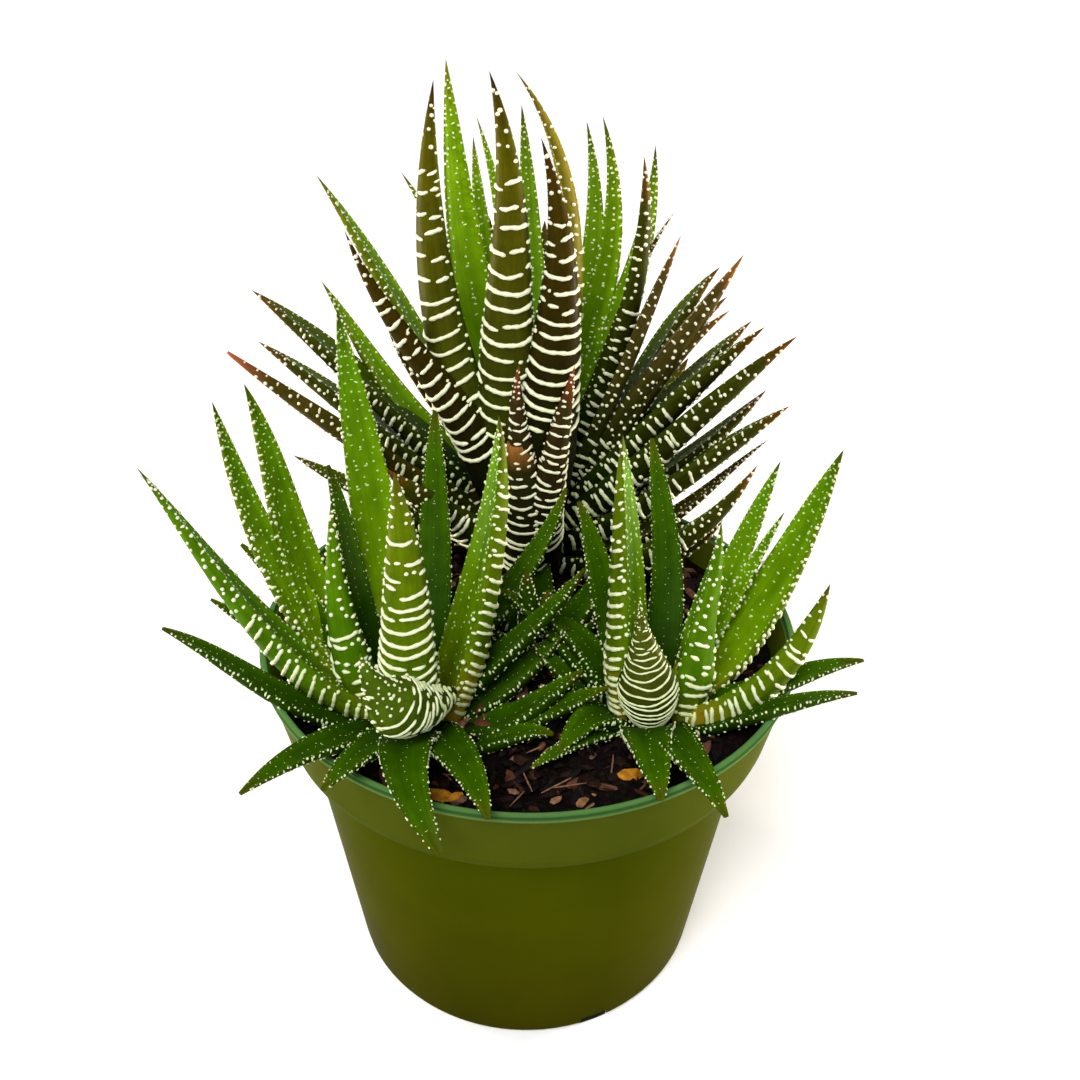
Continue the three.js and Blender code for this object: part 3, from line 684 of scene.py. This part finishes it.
def dot_row(build, leaf, along, columns, thick, draw):
    """A row over the back of dots and a few dashes. It adds the dashes, and returns the dots."""
    inset = ROW.inset if columns > ROW.columns_least else draw.uniform(*ROW.pair_inset)
    dots = []
    for turn in np.linspace(inset, 1 - inset, columns) * math.pi:
        place = along + draw.uniform(-ROW.drift, ROW.drift) / (leaf.length / MM)
        around = turn + draw.uniform(-ROW.turn, ROW.turn)
        if draw.random() < ROW.dashes:
            length = draw.uniform(*ROW.dash)
            add_dash(build, leaf, place, around, length, thick * ROW.dash_thick, leaf.look.tint, draw)
        else:
            dots.append((place, around, thick * draw.uniform(*ROW.spread)))
    return dots


def add_back_marks(build, leaf, draw):
    """Bumps on the back: whole bands near the foot, then bands in pieces, then rows of dots."""
    look = leaf.look
    length = leaf.length / MM
    foot_gap, tip_gap = look.gaps
    whole, broken = look.zones
    along = look.start
    dots = []
    while along < look.rows:
        thick = look.thick * (1 - BACK.thick_taper * along)
        columns = max(ROW.columns_least, round(float(leaf.wide(along)) / MM / look.column))
        gap = foot_gap + (tip_gap - foot_gap) * along
        if along < whole:
            pieces = 1 if draw.random() >= look.split else draw.integers(PIECE.least, PIECE.end)
            drift = BACK.whole_drift * foot_gap / length * pieces
            add_bands(build, leaf, along, pieces, drift, thick * np.array(BACK.whole_spread), draw)
        elif along < broken:
            pieces = draw.integers(PIECE.least, PIECE.least + columns)
            drift = BACK.broken_drift * tip_gap / length
            add_bands(build, leaf, along, pieces, drift, thick * np.array(BACK.broken_spread), draw)
        else:
            dots += dot_row(build, leaf, along, columns, thick, draw)
            gap *= ROW.gap
        along += gap * draw.uniform(*BACK.gap_spread) / length
    if dots:
        add_dots(build, leaf, dots, look.tint)


def add_margin_marks(build, leaf, draw):
    """Dots and short dashes over both margins."""
    look = leaf.look
    length = leaf.length / MM
    for edge, inward in ((0.0, 1), (math.pi, -1)):
        dots = []
        for along in np.arange(look.start, EDGE.end, look.edge_gap / length):
            place = along + draw.uniform(-EDGE.drift, EDGE.drift) / length
            size = look.edge_size * (1 - EDGE.taper * along) * draw.uniform(*EDGE.spread)
            if draw.random() < EDGE.dashes and along < EDGE.dash_end:
                turn = edge + inward * draw.uniform(*EDGE.dash_turn)
                dash = draw.uniform(*EDGE.dash)
                add_dash(build, leaf, place, turn, dash, size * EDGE.dash_thick, look.tint, draw)
            else:
                dots.append((place, edge + inward * draw.uniform(*EDGE.turn), size))
        add_dots(build, leaf, dots, look.tint)


def add_face_marks(build, leaf, draw):
    """Small dots and dashes on the face in loose columns, smaller towards its middle."""
    look = leaf.look
    length = leaf.length / MM
    columns = look.face_dots
    dots = []
    for column in range(columns):
        share = (column + FACE.inset) / (columns - 1 + 2 * FACE.inset)
        scale = FACE.edge_size - FACE.middle_loss * math.sin(share * math.pi)
        along = draw.uniform(*FACE.start)
        while along < FACE.end:
            size = look.face_size * draw.uniform(*FACE.spread) * scale
            turn = math.pi * (1 + share) + draw.uniform(-FACE.turn, FACE.turn)
            if draw.random() < look.face_dash:
                dash = draw.uniform(*FACE.dash)
                add_dash(build, leaf, along, turn, dash, size * FACE.dash_thick, look.fine, draw)
            else:
                dots.append((along, turn, size))
            along += draw.uniform(*FACE.gap) / length
    add_dots(build, leaf, dots, look.fine)


def add_leaf(build, at, row, seed):
    """One leaf with all its bumps."""
    leaf = Leaf(at, row)
    draw = np.random.default_rng(seed)
    add_skin(build, leaf)
    add_back_marks(build, leaf, draw)
    add_margin_marks(build, leaf, draw)
    add_face_marks(build, leaf, draw)


def make_material(name, colour, finish):
    """A material. colour makes its colour in a node tree, and finish is one of FINISH."""
    roughness, specular, *bump = finish
    material = bpy.data.materials.new(name)
    material.use_nodes = True
    tree = material.node_tree
    shader = tree.nodes["Principled BSDF"]
    shader.inputs["Roughness"].default_value = roughness
    shader.inputs["Specular IOR Level"].default_value = specular
    tree.links.new(colour(tree), shader.inputs["Base Color"])
    if bump:
        scale, detail, strength, depth = bump
        height = add_noise(tree, scale, detail)
        inputs = {"Strength": strength, "Distance": depth * MM, "Height": height}
        bump = add_node(tree, "ShaderNodeBump", inputs)
        tree.links.new(bump.outputs["Normal"], shader.inputs["Normal"])
    return material


def add_node(tree, kind, inputs=None, **settings):
    """A node with its settings. inputs are plain values, or outputs of other nodes to link."""
    node = tree.nodes.new(kind)
    for key, value in settings.items():
        setattr(node, key, value)
    for key, value in (inputs or {}).items():
        if isinstance(value, bpy.types.NodeSocket):
            tree.links.new(value, node.inputs[key])
        else:
            node.inputs[key].default_value = value
    return node


def add_attribute(tree, name):
    """The value that the mesh carries under a name."""
    return add_node(tree, "ShaderNodeAttribute", attribute_name=name).outputs["Fac"]


def add_noise(tree, scale, detail, vector=None):
    """Noise over the object's own coordinates, or over those given."""
    if vector is None:
        vector = add_node(tree, "ShaderNodeTexCoord").outputs["Object"]
    inputs = {"Scale": scale, "Detail": detail, "Vector": vector}
    return add_node(tree, "ShaderNodeTexNoise", inputs).outputs["Fac"]


def add_ramp(tree, factor, stops):
    """A colour ramp over factor. stops are pairs of a place and a hex colour or a linear tone."""
    node = add_node(tree, "ShaderNodeValToRGB", {"Fac": factor})
    ramp = node.color_ramp
    while len(ramp.elements) < len(stops):
        ramp.elements.new(0.5)
    for element, (place, colour) in zip(ramp.elements, stops):
        element.position = place
        element.color = linear(colour) if isinstance(colour, str) else (*np.broadcast_to(colour, 3), 1)
    return node.outputs["Color"]


def mix_colours(tree, factor, first, second, blend="MIX"):
    """first mixed with second by factor."""
    inputs = {MIX_FACTOR: factor, MIX_FIRST: first, MIX_SECOND: second}
    node = add_node(tree, "ShaderNodeMix", inputs, data_type="RGBA", blend_type=blend)
    return node.outputs[MIX_RESULT]


def mottled(tree, colour, noise, tones, share=1.0):
    """colour multiplied by a tone that goes from the first to the second with a noise."""
    tone = add_ramp(tree, noise, list(zip(MOTTLE_ENDS, tones)))
    return mix_colours(tree, share, colour, tone, "MULTIPLY")


def leaf_colour(tree, look):
    """Foot to tip colours for the back and the face, with mottling, streaks, and painted shade and
    highlight round it.
    """
    along = add_attribute(tree, "along")
    around = add_attribute(tree, "fine")
    back = add_ramp(tree, along, list(zip(COLOUR_PLACES, look.back.split())))
    face = add_ramp(tree, along, list(zip(COLOUR_PLACES, look.face.split())))
    colour = mix_colours(tree, add_attribute(tree, "back"), face, back)
    colour = mottled(tree, colour, add_noise(tree, scale=260, detail=3), LEAF_MOTTLE, share=0.7)
    stretched = add_node(tree, "ShaderNodeMath", {0: along, 1: STREAK_STRETCH}, operation="MULTIPLY")
    place = add_node(tree, "ShaderNodeCombineXYZ", {"X": around, "Y": stretched.outputs["Value"]})
    streaks = add_noise(tree, scale=22, detail=2, vector=place.outputs["Vector"])
    colour = mottled(tree, colour, streaks, LEAF_STREAKS, share=0.6)
    # Painted shade at the margins and in the face's hollow, and painted highlight on the face beside it
    return mix_colours(tree, 1.0, colour, add_ramp(tree, around, ROUND_SHADE_AND_HIGHLIGHT), "MULTIPLY")


def bump_colour(tree):
    """Cream, and greener where the tint of the bump is higher."""
    cream = add_ramp(tree, add_attribute(tree, "along"), BUMP_COLOURS)
    colour = mix_colours(tree, add_attribute(tree, "fine"), cream, linear(GREEN_BUMPS))
    return mottled(tree, colour, add_noise(tree, scale=900, detail=2), BUMP_GRAIN)


def pot_colour(tree):
    """Olive green, cloudy, darker towards the foot, lighter in the band, and with light lines along the
    lip painted as highlights, darker green between them.
    """
    place = add_node(tree, "ShaderNodeTexCoord").outputs["Object"]
    split = add_node(tree, "ShaderNodeSeparateXYZ", {"Vector": place})
    inputs = {0: split.outputs["Z"], 1: POT_HEIGHT * MM}
    height = add_node(tree, "ShaderNodeMath", inputs, operation="DIVIDE").outputs["Value"]
    colour = add_ramp(tree, height, POT_COLOURS_AND_LIP_HIGHLIGHTS)
    return mottled(tree, colour, add_noise(tree, scale=30, detail=3), POT_CLOUD)


def bark_colour(tree):
    """Each chip its own brown, from its tone, with a rough grain."""
    colour = add_ramp(tree, add_attribute(tree, "along"), BARK_COLOURS)
    return mottled(tree, colour, add_noise(tree, scale=700, detail=4), BARK_GRAIN)


def noise_colour(tree, scale, detail, stops):
    """A ramp over a noise, for the soil, the stems and the floor."""
    return add_ramp(tree, add_noise(tree, scale, detail), stops)


def lathe(profile, sides):
    """A mesh turned round Z from a profile in mm. A point on the axis is one vertex."""
    build = bmesh.new()
    turns = [2 * math.pi * side / sides for side in range(sides)]
    rings = []
    for radius, height in profile:
        around = turns if radius else [0]
        rings.append([
            build.verts.new((radius * MM * math.cos(turn), radius * MM * math.sin(turn), height * MM))
            for turn in around
        ])
    for low, high in zip(rings[:-1], rings[1:]):
        for side in range(sides):
            after = (side + 1) % sides
            corners = [(low, side), (low, after), (high, after), (high, side)]
            corners = [ring[place % len(ring)] for ring, place in corners]
            build.faces.new(list(dict.fromkeys(corners)))
    mesh = bpy.data.meshes.new("lathe")
    build.to_mesh(mesh)
    build.free()
    return mesh


def pot_profile():
    """Points of the pot's section, mm, from the middle of the underside to the middle of the floor."""
    points = [(0, 0)]
    for step in range(CORNER_STEPS + 1):
        turn = math.pi / 2 * step / CORNER_STEPS
        radius = BASE_RADIUS - BASE_CORNER + BASE_CORNER * math.sin(turn)
        points.append((radius, BASE_CORNER - BASE_CORNER * math.cos(turn)))
    for radius, height, rounding in ROUNDINGS:
        points += [(radius + out, height + up) for out, up in rounding]
    points += [
        (BAND_RADIUS - WALL, BAND_FOOT + WALL + BAND_INSIDE_RISE),
        (NECK_RADIUS - WALL, BAND_FOOT + WALL),
        (BASE_RADIUS - WALL, FLOOR + FLOOR_BEVEL),
        (BASE_RADIUS - WALL - FLOOR_BEVEL, FLOOR),
        (0, FLOOR),
    ]
    return points


def hole_places(height):
    """The place of each drainage hole, at a height in metres."""
    for hole in range(HOLE.count):
        heading = math.radians(HOLE.heading + 360 * hole / HOLE.count)
        yield HOLE.centre * MM * math.cos(heading), HOLE.centre * MM * math.sin(heading), height


def make_pot(material):
    """The moulded pot, with drainage holes through its bottom corner."""
    pot = add_object("nursery_pot", lathe(pot_profile(), POT_SIDES))
    for place in hole_places(0):
        bpy.ops.mesh.primitive_cylinder_add(
            vertices=HOLE.sides, radius=HOLE.radius * MM, depth=HOLE.height * 2 * MM, location=place)
        cutter = bpy.context.object
        cut = pot.modifiers.new("hole", "BOOLEAN")
        cut.object = cutter
        cut.operation = "DIFFERENCE"
        cut.solver = "EXACT"
        bpy.context.view_layer.objects.active = pot
        bpy.ops.object.modifier_apply(modifier=cut.name)
        bpy.data.objects.remove(cutter)
    finish(pot.data, material, POT_SHARP)
    return pot


def bed_profile():
    """Points of the soil's section, mm, a little inside the pot, with rings all over the top."""
    gap = WALL + SOIL_GAP
    profile = [
        (0, FLOOR + SOIL_GAP),
        (BASE_RADIUS - gap - 1, FLOOR + SOIL_GAP),
        (BASE_RADIUS - gap, FLOOR + 1.5),
        (NECK_RADIUS - gap, BAND_FOOT),
        (BAND_RADIUS - gap - 0.3, BAND_FOOT + 3),
        (SOIL_EDGE, SOIL_TOP - 1),
    ]
    return profile + [(radius, SOIL_TOP) for radius in range(SOIL_EDGE - 1, -1, -1)]


def roughen(mesh):
    """Lifts and lowers the top of the soil by waves of several lengths."""
    draw = np.random.default_rng(SOIL_SEED)
    waves = [
        (draw.uniform(-1, 1, 2) * turns * math.pi, draw.uniform(0, ANY_PHASE), height)
        for turns, height, count in SOIL_WAVES
        for _ in range(count)
    ]
    for vertex in mesh.vertices:
        if vertex.co.z > (SOIL_TOP - 0.5) * MM:
            flat = np.array(vertex.co[:2]) / MM
            rise = sum(height * math.sin(float(flat @ wave) + phase) for wave, phase, height in waves)
            vertex.co.z += rise * MM * SOIL_ROUGHNESS


def add_plugs(mesh):
    """Adds soil in the drainage holes, kept inside the pot's outer wall."""
    build = bmesh.new()
    build.from_mesh(mesh)
    radius = (HOLE.radius - PLUG.gap) * MM
    for place in hole_places(PLUG.height / 2 * MM):
        bmesh.ops.create_cone(
            build, cap_ends=True, segments=PLUG.sides, radius1=radius, radius2=radius,
            depth=(PLUG.height - 2 * PLUG.gap) * MM, matrix=Matrix.Translation(place))
    for vertex in build.verts:
        reach = math.hypot(vertex.co.x, vertex.co.y)
        if vertex.co.z < PLUG.height * MM and reach > PLUG.reach * MM:
            vertex.co.x *= PLUG.reach * MM / reach
            vertex.co.y *= PLUG.reach * MM / reach
    build.to_mesh(mesh)
    build.free()


def make_soil(material):
    """The bed of potting mix, with an uneven top, and the mix that shows in the drainage holes."""
    soil = add_object("potting_mix_bed", lathe(bed_profile(), SOIL_SIDES))
    roughen(soil.data)
    add_plugs(soil.data)
    finish(soil.data, material, SOIL_SHARP)
    return soil


def add_chip(build, place, size, euler, tone, draw):
    """One rough chip: two uneven rings and two blunt ends."""
    length, width, height = size
    points = []
    for share, scale in CHIP.rings:
        for side in range(CHIP.sides):
            turn = 2 * math.pi * side / CHIP.sides + draw.uniform(-CHIP.ring_turn, CHIP.ring_turn)
            radius = scale / 2 * draw.uniform(*CHIP.ring_size)
            points.append([
                length * (share + draw.uniform(-CHIP.ring_drift, CHIP.ring_drift)),
                width * radius * math.cos(turn),
                height * radius * math.sin(turn),
            ])
    spin = np.array(Euler(euler).to_matrix())
    points = np.array(points) * MM @ spin.T + np.array(place) * MM
    build.add(points, tube_faces(len(CHIP.rings), CHIP.sides), SKIN, tone)


def soil_spot(draw, reach):
    """A random x and y over the soil, mm, within a reach of its middle."""
    radius = reach * math.sqrt(draw.random())
    turn = draw.uniform(0, 2 * math.pi)
    return radius * math.cos(turn), radius * math.sin(turn)


def make_chips(material):
    """Bark chips and thin pale fibres over the soil, and the few ochre chips of the photo."""
    build = Build()
    draw = np.random.default_rng(CHIP.seed)
    for _ in range(CHIP.count):
        x, y = soil_spot(draw, CHIP.reach)
        big = draw.random() ** 2
        shares = (big, big * draw.uniform(*CHIP.width_spread), big * draw.uniform(*CHIP.height_spread))
        size = [least + more * share for least, more, share in zip(CHIP.least, CHIP.more, shares)]
        place = (x, y, SOIL_TOP + draw.uniform(*CHIP.lift))
        euler = (draw.normal(0, CHIP.roll), draw.normal(0, CHIP.pitch), draw.uniform(0, ANY_PHASE))
        tone = CHIP.tone * draw.random() ** (CHIP.darkness + CHIP.darker * big)
        add_chip(build, place, size, euler, tone, draw)
    for _ in range(FIBRE.count):
        x, y = soil_spot(draw, FIBRE.reach)
        place = (x, y, SOIL_TOP + draw.uniform(*FIBRE.lift))
        euler = (0, draw.normal(0, FIBRE.pitch), draw.uniform(0, ANY_PHASE))
        size = (draw.uniform(*FIBRE.length), *FIBRE.section)
        add_chip(build, place, size, euler, draw.uniform(*FIBRE.tone), draw)
    for x, y, length, heading in OCHRE.chips:
        euler = (OCHRE.tilt, 0, math.radians(heading))
        size = [length * share for share in OCHRE.shape]
        add_chip(build, (x, y, SOIL_TOP + OCHRE.lift), size, euler, OCHRE.tone, draw)
    chips = build.mesh("bark_chips", [material])
    smooth_faces(chips.data, False)
    return chips


def make_plants(skins, bumps):
    """All leaves, each one piece. A leaf that is a CAD node stands for it."""
    for part, (name, at, leaves, fillers) in enumerate(ROSETTES):
        for kind, seed, rows in (("leaf", LEAF_SEED, leaves), ("small_leaf", SMALL_LEAF_SEED, fillers)):
            for number, row in enumerate(rows, 1):
                build = Build()
                add_leaf(build, at, row, [part, seed, number])
                materials = [skins[row[LOOK_PLACE]], bumps]
                piece = build.mesh(f"{name}_haworthia_{kind}_{number:02d}", materials)
                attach(piece, "root")
                if kind == "leaf":
                    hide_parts(f"{name}_leaf_{number:02d}")


def make_centre(skins, bumps):
    """The small offset in the middle, one piece with its leaves."""
    build = Build()
    for number, row in enumerate(CENTRE_LEAVES, 1):
        add_leaf(build, CENTRE_AT, row, [CENTRE_SEED, number])
    piece = build.mesh("centre_offset_plant", [skins["deep"], bumps])
    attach(piece, "root")
    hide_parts("centre_offset")


def make_stage():
    """A pale round floor that curves up into a low wall all round."""
    flat = STAGE.reach - STAGE.curve
    profile = [(0, 0), (flat, 0)]
    for step in range(1, STAGE.steps + 1):
        turn = math.pi / 2 * step / STAGE.steps
        profile.append((flat + STAGE.curve * math.sin(turn), STAGE.curve - STAGE.curve * math.cos(turn)))
    profile.append((STAGE.reach, STAGE.top))
    floor = add_object("studio_floor", lathe(profile, STAGE.sides))
    smooth_faces(floor.data)
    colour = partial(noise_colour, scale=3, detail=2, stops=FLOOR_SHADES)
    floor.data.materials.append(make_material("pale_floor", colour, FINISH.floor))


def make_sky():
    """A faint white light from all round, and colours shown as they are."""
    world = bpy.data.worlds.new("studio")
    world.use_nodes = True
    background = world.node_tree.nodes["Background"]
    background.inputs["Color"].default_value = (*WHITE, 1)
    background.inputs["Strength"].default_value = SKY_STRENGTH
    bpy.context.scene.world = world
    bpy.context.scene.view_settings.view_transform = "Standard"


def make_lights():
    """One broad soft key from above the camera, and a warm one low at each side."""
    for name, kind, place, power, colour, size in LIGHTS:
        data = bpy.data.lights.new(name, kind)
        data.energy = power
        data.color = colour
        if kind == "SUN":
            data.angle = size
        else:
            data.size = size
        light = add_object(name, data)
        light.location = place
        towards = Vector(LIGHT_TARGET) - Vector(place)
        light.rotation_euler = towards.to_track_quat("-Z", "Y").to_euler()


def make_camera():
    """The photo's own camera."""
    data = bpy.data.cameras.new("photo_camera")
    data.lens = CAMERA.lens
    data.sensor_width = CAMERA.sensor
    data.clip_start = CAMERA.near
    camera = add_object("photo_camera", data)
    turn = Matrix.Rotation(math.pi / 2 - CAMERA.down, 4, "X") @ Matrix.Rotation(CAMERA.roll, 4, "Z")
    camera.matrix_world = Matrix.Translation(CAMERA.place) @ turn
    bpy.context.scene.camera = camera


def main():
    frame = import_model()
    make_camera()
    make_lights()
    make_stage()
    make_sky()

    pot = make_pot(make_material("green_plastic", pot_colour, FINISH.pot))
    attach(pot, "root")
    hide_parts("pot")

    colour = partial(noise_colour, scale=900, detail=4, stops=SOIL_COLOURS)
    soil = make_soil(make_material("potting_mix", colour, FINISH.soil))
    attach(soil, "root")
    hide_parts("soil")

    chips = make_chips(make_material("bark", bark_colour, FINISH.bark))
    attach(chips, "root")

    colour = partial(noise_colour, scale=500, detail=4, stops=STEM_COLOURS)
    stem = make_material("stem_bark", colour, FINISH.stem)
    for name, *_ in ROSETTES:
        node = frame["nodes"][f"{name}_stem"]
        node.data.materials.clear()
        node.data.materials.append(stem)

    skins = {
        name: make_material("leaf_" + name, partial(leaf_colour, look=look), FINISH.leaf)
        for name, look in LOOKS.items()
    }
    bumps = make_material("leaf_bumps", bump_colour, FINISH.bumps)
    make_plants(skins, bumps)
    make_centre(skins, bumps)


main()
